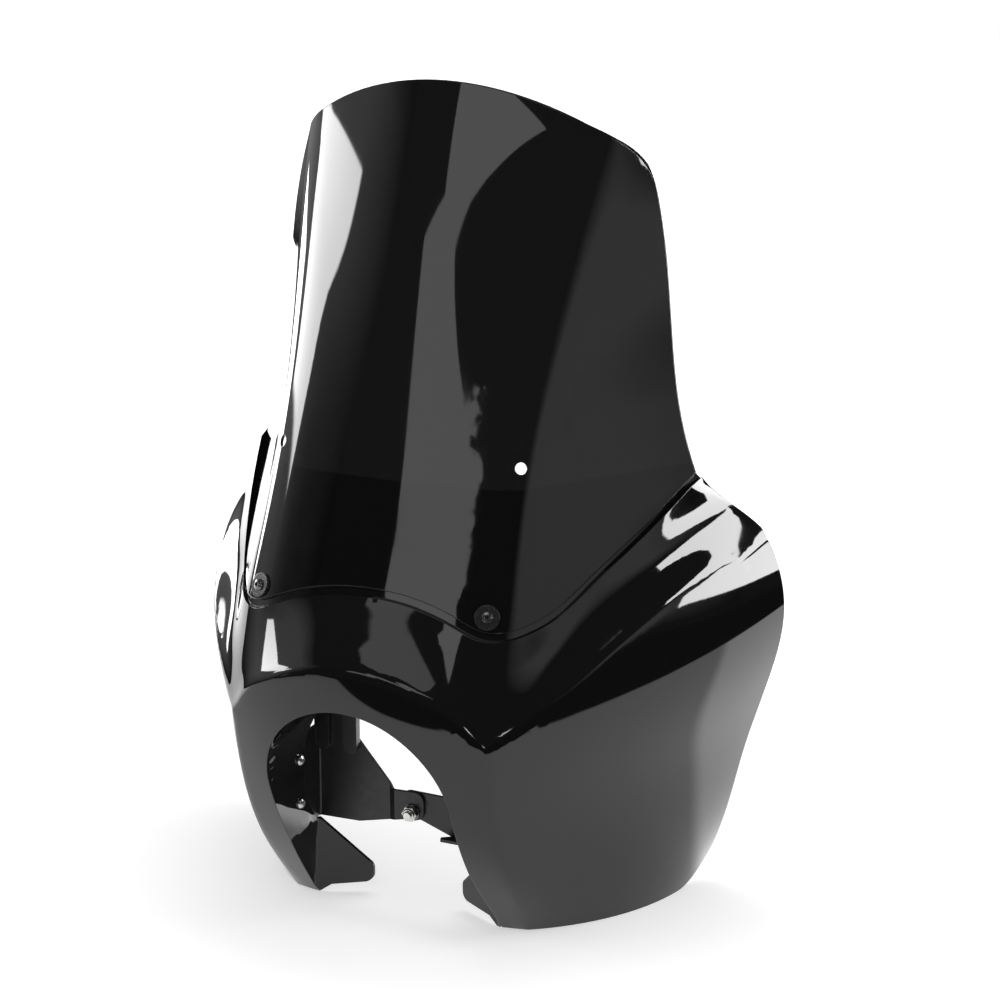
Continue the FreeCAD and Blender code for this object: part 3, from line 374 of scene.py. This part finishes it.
@dataclass(frozen=True)
class GlossMoulding(Coat):
    """Gloss black plastic: mirror smooth, with the slight waviness of a lacquered moulding."""

    name: str = "gloss_moulding"
    colour: tuple = (0.006, 0.006, 0.0065)
    drift: Drift = Drift(waves=5.0, spread=0.12)
    polish: Polish = Polish(waves=9.0, octaves=3.0, smooth=0.02625, rough=0.04725, start=0.35)
    relief: Relief = Relief(waves=16.0, octaves=1.0, height=0.00006, edge=0.0009)


@dataclass(frozen=True)
class SmokedScreen(Coat):
    """Dark smoked sheet: polished, slightly wavy from forming, and nearly opaque."""

    name: str = "smoked_sheet"
    colour: tuple = (0.004, 0.004, 0.0045)
    drift: Drift = Drift(waves=4.0, spread=0.1)
    polish: Polish = Polish(waves=7.0, octaves=3.0, smooth=0.02, rough=0.045, start=0.35)
    relief: Relief = Relief(waves=11.0, octaves=1.0, height=0.00005, edge=0.0012)
    cover: float = 0.955


@dataclass(frozen=True)
class PowderCoat(Coat):
    """Satin black powder coat with a fine orange peel."""

    name: str = "powder_coat"
    colour: tuple = (0.012, 0.012, 0.0125)
    drift: Drift = Drift(waves=60.0, spread=0.2)
    polish: Polish = Polish(waves=260.0, octaves=2.0, smooth=0.3, rough=0.42)
    relief: Relief = Relief(waves=900.0, octaves=2.0, height=0.00005, edge=0.0006)


@dataclass(frozen=True)
class ZincPlate(Coat):
    """Bright zinc on steel, faintly clouded, with fine drawing marks."""

    name: str = "zinc_plate"
    colour: tuple = (0.62, 0.62, 0.6)
    drift: Drift = Drift(waves=300.0, spread=0.12)
    polish: Polish = Polish(waves=500.0, octaves=3.0, smooth=0.2, rough=0.36)
    relief: Relief = Relief(waves=2200.0, octaves=2.0, height=0.00002, edge=0.0003)
    metallic: float = 1.0


@dataclass(frozen=True)
class BlackOxide(Coat):
    """Black oxide on steel: dark, with a bright metal shine."""

    name: str = "black_oxide"
    colour: tuple = (0.16, 0.16, 0.165)
    drift: Drift = Drift(waves=400.0, spread=0.25)
    polish: Polish = Polish(waves=700.0, octaves=3.0, smooth=0.12, rough=0.22)
    relief: Relief = Relief(waves=2600.0, octaves=2.0, height=0.00002, edge=0.0004)
    metallic: float = 0.9


@dataclass(frozen=True)
class MouldedRubber(Coat):
    """Black rubber, new, with a fine grain and a soft shine."""

    name: str = "moulded_rubber"
    colour: tuple = (0.016, 0.016, 0.016)
    drift: Drift = Drift(waves=200.0, spread=0.2)
    polish: Polish = Polish(waves=500.0, octaves=2.0, smooth=0.2, rough=0.3)
    relief: Relief = Relief(waves=1600.0, octaves=3.0, height=0.00002, edge=0.0009)


@dataclass(frozen=True)
class StudioFloor(Finish):
    """White paper that keeps the shadow. In the gloss it ends at its front edge and is brighter at the back.

    Attributes:
        drift: Faint unevenness of the paper.
        roughness: Roughness of the paper.
        near: Distance from the object in metres up to which the shadow is kept.
        far: Distance from which the floor is plain white to the eye.
        lift: White that is added for the eye within the near distance.
        gloss_lift: White that is added in the gloss.
        turn: Turn of the paper's front edge about the object, in degrees.
        front_edge: Distance of the front edge from the object's middle in metres.
        front_soft: Half the width of its soft border in metres.
        bright_slope: Slope of the line behind which the paper is brighter in the gloss.
        bright_edge: Distance of that line behind the object's middle in metres.
        bright_soft: Half the width of its soft border in metres.
        bright_gain: White that is added behind it.
    """

    name: str = "studio_floor"
    colour: tuple = (0.75, 0.75, 0.75)
    drift: Drift = Drift(waves=3.0, spread=0.01)
    roughness: float = 0.9
    near: float = 0.45
    far: float = 1.1
    lift: float = 0.46
    gloss_lift: float = 0.52
    turn: float = 38.0
    front_edge: float = 0.515
    front_soft: float = 0.01
    bright_slope: float = 0.3
    bright_edge: float = 0.095
    bright_soft: float = 0.02
    bright_gain: float = 1.2

    def paint(self, graph: Graph) -> None:
        """Matt white, lifted to white for the eye and in the gloss."""
        seen, through, gloss = graph.rays()
        across, along, _ = graph.parts(graph.place())
        turn = math.radians(self.turn)
        ahead = across * math.cos(turn) - along * math.sin(turn)
        paper = graph.step(ahead, self.front_edge + self.front_soft, self.front_edge - self.front_soft)
        back = graph.step(along - across * self.bright_slope,
                          self.bright_edge - self.bright_soft, self.bright_edge + self.bright_soft)
        away = graph.step((across * across + along * along) ** 0.5, self.near, self.far)
        white = seen.highest(through)
        eye = white * (self.lift + away * (1.0 - self.lift))
        mirror = (1.0 - white) * gloss * paper * (self.gloss_lift + back * self.bright_gain)
        plain = 1.0 - gloss * (1.0 - paper)
        base = graph.mix(plain, BLACK, self.varied(graph, self.drift))
        glow = graph.mix(eye + mirror, BLACK, WHITE)
        graph.surface(base_color=base, roughness=self.roughness, specular_ior_level=0.0, emission_color=glow,
                      emission_strength=1.0)


@dataclass(frozen=True)
class GlowingCloth(Finish):
    """Even white glow that fades towards the edges of a board.

    Attributes:
        glow: Brightness, where one is white.
        fade: Share of the board's width and height over which the glow fades.
        fade_least: Share below which the edge would be ragged.
    """

    name: str = "glowing_cloth"
    colour: tuple = WHITE
    glow: float = 1.0
    fade: float = 0.05
    fade_least: float = 0.001

    def paint(self, graph: Graph) -> None:
        """Glow that follows the board's own map."""
        across, along, _ = graph.parts(graph.node("ShaderNodeTexCoord", output="UV"))
        inside = self._inside(across) * self._inside(along)
        shine = graph.mix(inside, BLACK, self.colour)
        lamp = graph.node("ShaderNodeEmission", None, {"Color": shine, "Strength": self.glow})
        graph.node("ShaderNodeOutputMaterial", None, {"Surface": lamp})

    def _inside(self, share: Channel) -> Channel:
        """One inside the board, falling to nothing at both edges."""
        near = share.lowest(1.0 - share) / max(self.fade, self.fade_least)
        return near.lowest(1.0).highest(0.0)


@dataclass
class FairSkin:
    """Finer copy of a solid's surface, shaded as one fair surface.

    The solid's facets are up to several centimetres long, and in a mirror finish each one would show as a
    kink in the reflections. The copy has the same form with short facets. Each of its points takes its
    normal from a cubic height that is fitted to the solid's corners near it: to their exact places, and
    a little to their normals.

    Attributes:
        node: Node that the skin stands for.
        slot: Colour slot of the skin. Not used.
        longest: Length in metres above which an edge is halved.
        rounds: Rounds of halving.
        near: Number of corners that each fit takes in.
        apart: Distance in metres along its normal at which each corner is looked up, so that the two
            faces of a wall stay apart.
        rank: Rank of the near corner whose distance gives the reach of the fit.
        spread: Reach as a multiple of that distance.
        reach_least: Shortest reach in metres.
        reach_most: Longest reach in metres.
        crease: Turn in degrees over which a corner's weight falls.
        step_least: Height in metres off the facet over which a near corner's weight falls.
        step_share: Growth of that height with the corner's distance.
        trust: Weight of the normals beside that of the places.
        steep_least: Least cosine that turns a normal into a slope.
        clear_most: Largest share of X in a normal at which X still helps to find the facet's axes.
        stiffness: Pull to nothing on height and slopes, on curvature, and on change of curvature.
        support_least: Sum of the weights below which a point keeps its own normal.
        turn_most: Turn in degrees above which a point keeps its own normal.
        batch: Points that are fitted at once.
    """

    node: str
    slot: str
    longest: float
    rounds: int = 5
    near: int = 42
    apart: float = 0.03
    rank: int = 14
    spread: float = 1.1
    reach_least: float = 0.001
    reach_most: float = 0.08
    crease: float = 14.0
    step_least: float = 0.0001
    step_share: float = 0.03
    trust: float = 0.003
    steep_least: float = 0.2
    clear_most: float = 0.7
    stiffness: tuple = (1e-9, 1e-5, 1e-3)
    support_least: float = 2.5
    turn_most: float = 10.0
    batch: int = 8000

    def build(self, nodes: dict) -> bpy.types.Object:
        """Add the skin and let it stand for the node.

        Args:
            nodes: Objects of the construction model by name.

        Returns:
            The skin.
        """
        source = nodes[self.node]
        skin = bpy.data.objects.new(f"{self.node}_skin", source.data.copy())
        bpy.context.collection.objects.link(skin)
        self._refine(skin)
        skin.data.normals_split_custom_set_from_vertices(self._fair(source.data, skin.data))
        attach(skin, "root")
        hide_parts(self.node)
        LOG.info("%s stands for %s", skin.name, self.node)
        return skin

    def _refine(self, skin: bpy.types.Object) -> None:
        """Halve the long edges, round after round."""
        bpy.ops.object.select_all(action="DESELECT")
        bpy.context.view_layer.objects.active = skin
        skin.select_set(True)
        for _ in range(self.rounds):
            bpy.ops.object.mode_set(mode="EDIT")
            mesh = bmesh.from_edit_mesh(skin.data)
            long_edges = 0
            for edge in mesh.edges:
                edge.select_set(edge.calc_length() > self.longest)
                long_edges += edge.select
            bmesh.update_edit_mesh(skin.data)
            if long_edges:
                bpy.ops.mesh.select_mode(type="EDGE")
                bpy.ops.mesh.subdivide(number_cuts=1)
                bpy.ops.mesh.select_all(action="SELECT")
                bpy.ops.mesh.quads_convert_to_tris(quad_method="SHORTEST_DIAGONAL", ngon_method="BEAUTY")
            bpy.ops.object.mode_set(mode="OBJECT")
        skin.select_set(False)

    def _fair(self, solid: bpy.types.Mesh, skin: bpy.types.Mesh) -> list:
        """Fair normal of each of the skin's points.

        Args:
            solid: Mesh of the solid.
            skin: Mesh of the skin.

        Returns:
            Normals in the order of the skin's points.
        """
        places = np.array([tuple(vertex.co) for vertex in solid.vertices])
        normals = np.zeros_like(places)
        for loop, corner in zip(solid.loops, solid.corner_normals):
            normals[loop.vertex_index] = corner.vector
        tree = KDTree(len(places))
        for index, place in enumerate(places + self.apart * normals):
            tree.insert(place, index)
        tree.balance()
        spots = np.array([tuple(vertex.co) for vertex in skin.vertices])
        own = self._own_normals(skin)
        keys = spots + self.apart * own
        near = np.array([[found[1] for found in tree.find_n(key, self.near)] for key in keys])
        fair = own.copy()
        for start in range(0, len(spots), self.batch):
            part = slice(start, start + self.batch)
            offset = places[near[part]] - spots[part][:, None, :]
            fair[part] = self._fit(offset, normals[near[part]], own[part])
        return [tuple(normal) for normal in fair]

    def _own_normals(self, skin: bpy.types.Mesh) -> np.ndarray:
        """Normal of each point from its own facets, weighted by their corner angles."""
        bare = skin.copy()
        unset = [(0.0, 0.0, 0.0)] * len(bare.vertices)
        bare.normals_split_custom_set_from_vertices(unset)
        own = np.array([tuple(item.vector) for item in bare.vertex_normals])
        bpy.data.meshes.remove(bare)
        return own

    def _fit(self, offset: np.ndarray, around: np.ndarray, own: np.ndarray) -> np.ndarray:
        """Fit a cubic height to the corners near each point.

        Args:
            offset: Places of the near corners, from the point.
            around: Normals of the near corners.
            own: Normal of the point from its own facets.

        Returns:
            Fair normals, and the point's own where the fit is weak.
        """
        reach, facing, weight = self._weigh(offset, around, own)
        first, second = self._axes(own)
        u, v, rise = (np.einsum("nkj,nj->nk", offset, axis) / reach for axis in (first, second, own))
        level, by_u, by_v = self._terms(u, v)
        steep = np.clip(facing, self.steep_least, 1.0)
        slope_u, slope_v = (-np.einsum("nkj,nj->nk", around, axis) / steep for axis in (first, second))
        plane, bend, twist = self.stiffness
        stiff = np.diag([plane] * 3 + [bend] * 3 + [twist] * 4)
        square = np.tile(stiff, (len(own), 1, 1))
        right = np.zeros((len(own), len(stiff)))
        wanted = ((1.0, level, rise), (self.trust, by_u, slope_u), (self.trust, by_v, slope_v))
        for share, rows, aim in wanted:
            weighed = (rows * (share * weight)[:, :, None]).transpose(0, 2, 1)
            square += np.matmul(weighed, rows)
            right += np.matmul(weighed, aim[:, :, None])[:, :, 0]
        found = np.linalg.solve(square, right[:, :, None])[:, :, 0]
        fair = own - found[:, 1:2] * first - found[:, 2:3] * second
        fair /= np.linalg.norm(fair, axis=1)[:, None]
        turned = np.degrees(np.arccos(np.clip(np.einsum("nj,nj->n", fair, own), -1.0, 1.0)))
        weak = (weight.sum(axis=1) < self.support_least) | (turned > self.turn_most)
        LOG.info("%s: %d of %d points keep the normal of their own facets", self.node, weak.sum(), len(own))
        fair[weak] = own[weak]
        return fair

    def _weigh(self, offset: np.ndarray, around: np.ndarray, own: np.ndarray) -> tuple:
        """Weigh the near corners by distance, by turn, and by height off the facet.

        Args:
            offset: Places of the near corners, from the point.
            around: Normals of the near corners.
            own: Normal of the point from its own facets.

        Returns:
            Reach of each fit, cosine of each corner's turn, and weight of each corner.
        """
        away = np.linalg.norm(offset, axis=2)
        middle = np.sort(away, axis=1)[:, self.rank]
        reach = np.clip(self.spread * middle, self.reach_least, self.reach_most)[:, None]
        facing = np.clip(np.einsum("nkj,nj->nk", around, own), -1.0, 1.0)
        turn = np.degrees(np.arccos(facing))
        lean = 0.5 * np.einsum("nkj,nkj->nk", offset, around + own[:, None, :])
        step = lean / (self.step_least + self.step_share * away)
        weight = np.exp(-0.5 * ((away / reach) ** 2 + (turn / self.crease) ** 2 + step ** 2))
        return reach, facing, weight

    def _axes(self, own: np.ndarray) -> tuple:
        """Two axes square to each normal, from X or, where the normal lies near X, from Y."""
        clear_of_x = np.abs(own[:, :1]) < self.clear_most
        helper = np.where(clear_of_x, [[1.0, 0.0, 0.0]], [[0.0, 1.0, 0.0]])
        first = np.cross(own, helper)
        first /= np.linalg.norm(first, axis=1)[:, None]
        return first, np.cross(own, first)

    def _terms(self, u: np.ndarray, v: np.ndarray) -> tuple:
        """Terms of a cubic height, and their slopes along both axes.

        Args:
            u: Places along the first axis.
            v: Places along the second axis.

        Returns:
            Terms, slopes along the first axis, and slopes along the second.
        """
        one, none = np.ones_like(u), np.zeros_like(u)
        level = np.stack((one, u, v, u * u, u * v, v * v, u ** 3, u * u * v, u * v * v, v ** 3), axis=2)
        by_u = np.stack((none, one, none, 2 * u, v, none, 3 * u * u, 2 * u * v, v * v, none), axis=2)
        by_v = np.stack((none, none, one, none, u, 2 * v, none, u * u, 2 * u * v, 3 * v * v), axis=2)
        return level, by_u, by_v


@dataclass
class Viewpoint:
    """Camera at the photograph's angle.

    Attributes:
        azimuth: Turn towards the object's left side, in degrees.
        elevation: Angle down to the object, in degrees.
        lens: Focal length in millimetres.
        sensor: Width of the frame behind the lens in millimetres.
        place: Place of the camera.
        farthest: Distance in metres to which the camera sees.
    """

    azimuth: float = 25.62
    elevation: float = 15.02
    lens: float = 93.6
    sensor: float = 36.0
    place: tuple = (1.0368, -1.9999, 0.9865)
    farthest: float = 50.0

    def build(self) -> None:
        """Add the camera and make it the scene's."""
        data = bpy.data.cameras.new("camera")
        data.lens = self.lens
        data.sensor_width = self.sensor
        data.clip_end = self.farthest
        camera = bpy.data.objects.new("camera", data)
        camera.location = self.place
        camera.rotation_euler = (math.radians(90.0 - self.elevation), 0.0, math.radians(self.azimuth))
        bpy.context.collection.objects.link(camera)
        bpy.context.scene.camera = camera


@dataclass
class Softbox:
    """A soft lamp that lights the matt surfaces at a plain level.

    Attributes:
        name: Name of the lamp.
        place: Place of its middle.
        target: Place that it points at.
        width: Width in metres.
        height: Height in metres.
        brightness: Brightness of its surface.
    """

    name: str
    place: tuple
    target: tuple
    width: float
    height: float
    brightness: float

    def build(self) -> None:
        """Add the lamp, out of sight of camera and gloss."""
        data = bpy.data.lights.new(self.name, "AREA")
        data.shape = "RECTANGLE"
        data.size = self.width
        data.size_y = self.height
        data.energy = self.brightness * math.pi * self.width * self.height
        lamp = bpy.data.objects.new(self.name, data)
        aim = Vector(self.target) - Vector(self.place)
        turn = aim.to_track_quat("-Z", "Y").to_matrix().to_4x4()
        lamp.matrix_world = Matrix.Translation(self.place) @ turn
        lamp.visible_camera = False
        lamp.visible_glossy = False
        bpy.context.collection.objects.link(lamp)


@dataclass
class Board:
    """A glowing board that is seen only in the gloss.

    Attributes:
        name: Name of the board.
        corners: Its corners: bottom left, bottom right, top right, top left.
        glow: Brightness, where one is white.
        fade: Share of the board over which the glow fades at its edges.
    """

    name: str
    corners: tuple
    glow: float
    fade: float

    @classmethod
    def beside(cls, name: str, across: float, outline: tuple, glow: float, fade: float) -> "Board":
        """Upright board to one side, from the places of its corners along and up."""
        return cls(name, tuple((across, along, up) for along, up in outline), glow, fade)

    @classmethod
    def ahead(cls, name: str, along: float, outline: tuple, glow: float, fade: float) -> "Board":
        """Upright board in front, from the places of its corners across and up."""
        return cls(name, tuple((across, along, up) for across, up in outline), glow, fade)

    def build(self) -> None:
        """Add the board."""
        bpy.ops.mesh.primitive_plane_add(size=1.0, location=(0.0, 0.0, 0.0))
        board = bpy.context.object
        board.name = self.name
        order = (0, 1, 3, 2)
        for vertex, corner in zip(board.data.vertices, order):
            vertex.co = self.corners[corner]
        finish = GlowingCloth(name=f"{self.name}_cloth", glow=self.glow, fade=self.fade)
        board.data.materials.append(finish.material())
        board.visible_camera = False
        board.visible_diffuse = False
        board.visible_shadow = False
        board.visible_transmission = False


@dataclass
class Studio:
    """Floor, world, lamps and boards.

    Attributes:
        floor_reach: Distance from the object to the floor's edges in metres.
        ambient: Strength of the world as plain light.
        dark: Strength of the world in the gloss.
        lamps: Lamps that light the matt surfaces.
        boards: Boards that show in the gloss.
    """

    floor_reach: float = 9.0
    ambient: float = 0.6
    dark: float = 0.025
    lamps: list = field(default_factory=lambda: [
        Softbox("key_box", place=(-1.6, -1.2, 1.9), target=(0.0, 0.0, 0.3),
                width=1.2, height=1.2, brightness=2.2),
        Softbox("right_box", place=(1.7, 0.3, 1.9), target=(0.0, 0.0, 0.3),
                width=1.2, height=1.0, brightness=2.2),
        Softbox("top_box", place=(0.0, 0.6, 2.4), target=(0.0, 0.0, 0.2),
                width=2.0, height=1.2, brightness=2.4),
    ])
    boards: list = field(default_factory=lambda: [
        Board.beside("left_board", -2.6, ((-1.45, 1.2), (0.36, 0.58), (0.3, 1.13), (-1.45, 1.42)),
                     glow=13.0, fade=0.035),
        Board.beside("left_low", -1.3, ((0.2, 0.25), (0.8, 0.25), (0.8, 0.62), (0.36, 0.62)),
                     glow=12.0, fade=0.02),
        Board.beside("left_wall", -2.7, ((-3.3, 0.0), (4.6, 0.0), (4.6, 2.7), (-3.3, 2.7)),
                     glow=0.6, fade=0.25),
        Board.ahead("front_foot", -2.0, ((-0.97, 1.0), (-0.45, 1.0), (-0.42, 1.32), (-0.95, 1.32)),
                    glow=1.8, fade=0.0),
        Board.ahead("front_waist", -2.0, ((-0.95, 1.32), (-0.42, 1.32), (-0.2, 1.41), (-0.65, 1.41)),
                    glow=1.8, fade=0.0),
        Board.ahead("front_crest", -2.0, ((-0.65, 1.41), (-0.2, 1.41), (1.0, 1.75), (-0.65, 2.1)),
                    glow=1.8, fade=0.0),
        Board("overhead_board", ((-1.1, -1.15, 2.2), (0.9, -2.2, 2.2), (1.6, -0.6, 2.4), (-0.6, 0.2, 2.4)),
              glow=1.15, fade=0.01),
        Board.beside("rear_window", 1.3, ((0.24, 0.42), (1.35, 0.42), (1.35, 1.1), (0.24, 0.6)),
                     glow=15.0, fade=0.01),
        Board.beside("ridge_window", 1.3, ((0.08, 0.95), (0.62, 0.72), (0.62, 1.12), (0.08, 1.15)),
                     glow=15.0, fade=0.01),
        Board.beside("right_low", 1.3, ((-1.25, 0.3), (-1.05, 0.3), (-1.05, 0.5), (-1.25, 0.5)),
                     glow=9.0, fade=0.05),
        Board.beside("right_wall", 1.6, ((-0.9, 0.3), (0.6, 0.3), (0.6, 1.0), (-0.9, 1.0)),
                     glow=0.6, fade=0.3),
    ])

    def build(self) -> None:
        """Add everything round the object."""
        self._floor()
        self._world()
        for lamp in self.lamps:
            lamp.build()
        for board in self.boards:
            board.build()
        bpy.context.scene.view_settings.view_transform = "Standard"
        LOG.info("studio with %d lamps and %d boards", len(self.lamps), len(self.boards))

    def _floor(self) -> None:
        """Add the floor."""
        bpy.ops.mesh.primitive_plane_add(size=2 * self.floor_reach, location=(0.0, 0.0, 0.0))
        floor = bpy.context.object
        floor.name = "floor"
        floor.data.materials.append(StudioFloor().material())

    def _world(self) -> None:
        """White to the eye and through the screen, plain grey as ambient light, dark in the gloss."""
        world = bpy.data.worlds.new("studio")
        bpy.context.scene.world = world
        world.use_nodes = True
        graph = Graph(world.node_tree)
        seen, through, gloss = graph.rays()
        bright = seen.highest(through)
        strength = bright + (1.0 - bright) * (gloss * self.dark + (1.0 - gloss) * self.ambient)
        lit = graph.node("ShaderNodeBackground", None, {"Color": WHITE, "Strength": strength})
        graph.node("ShaderNodeOutputWorld", None, {"Surface": lit})


@dataclass
class Dress:
    """Gives the construction model's nodes their finishes."""

    finishes: dict = field(default_factory=lambda: {
        "fairing_shell": GlossMoulding(),
        "windscreen": SmokedScreen(),
        "centre_bolt": ZincPlate(),
        "centre_nut": ZincPlate(),
        "centre_rear_washer": ZincPlate(),
        "centre_front_washer": BlackOxide(),
    })

    def build(self, nodes: dict) -> None:
        """Assign a finish to every node.

        Args:
            nodes: Objects of the construction model by name.
        """
        for name, piece in nodes.items():
            finish = self.finishes.get(name) or self._small(name)
            piece.data.materials.clear()
            piece.data.materials.append(finish.material())
            LOG.info("%s dressed in %s", name, finish.name)

    def _small(self, name: str) -> Finish:
        """Finish of a bracket or of a small fastener."""
        if name.endswith("bracket"):
            return PowderCoat()
        if name.endswith("bush"):
            return MouldedRubber()
        if name.endswith("screen_screw"):
            return BlackOxide()
        return ZincPlate()


def main() -> None:
    """Build the scene."""
    logging.basicConfig(level=logging.INFO)
    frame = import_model()
    Viewpoint().build()
    Studio().build()
    Dress().build(frame["nodes"])
    FairSkin("windscreen", "smoked_screen", longest=0.007).build(frame["nodes"])
    FairSkin("fairing_shell", "gloss_black", longest=0.009).build(frame["nodes"])


if __name__ == "__main__":
    main()
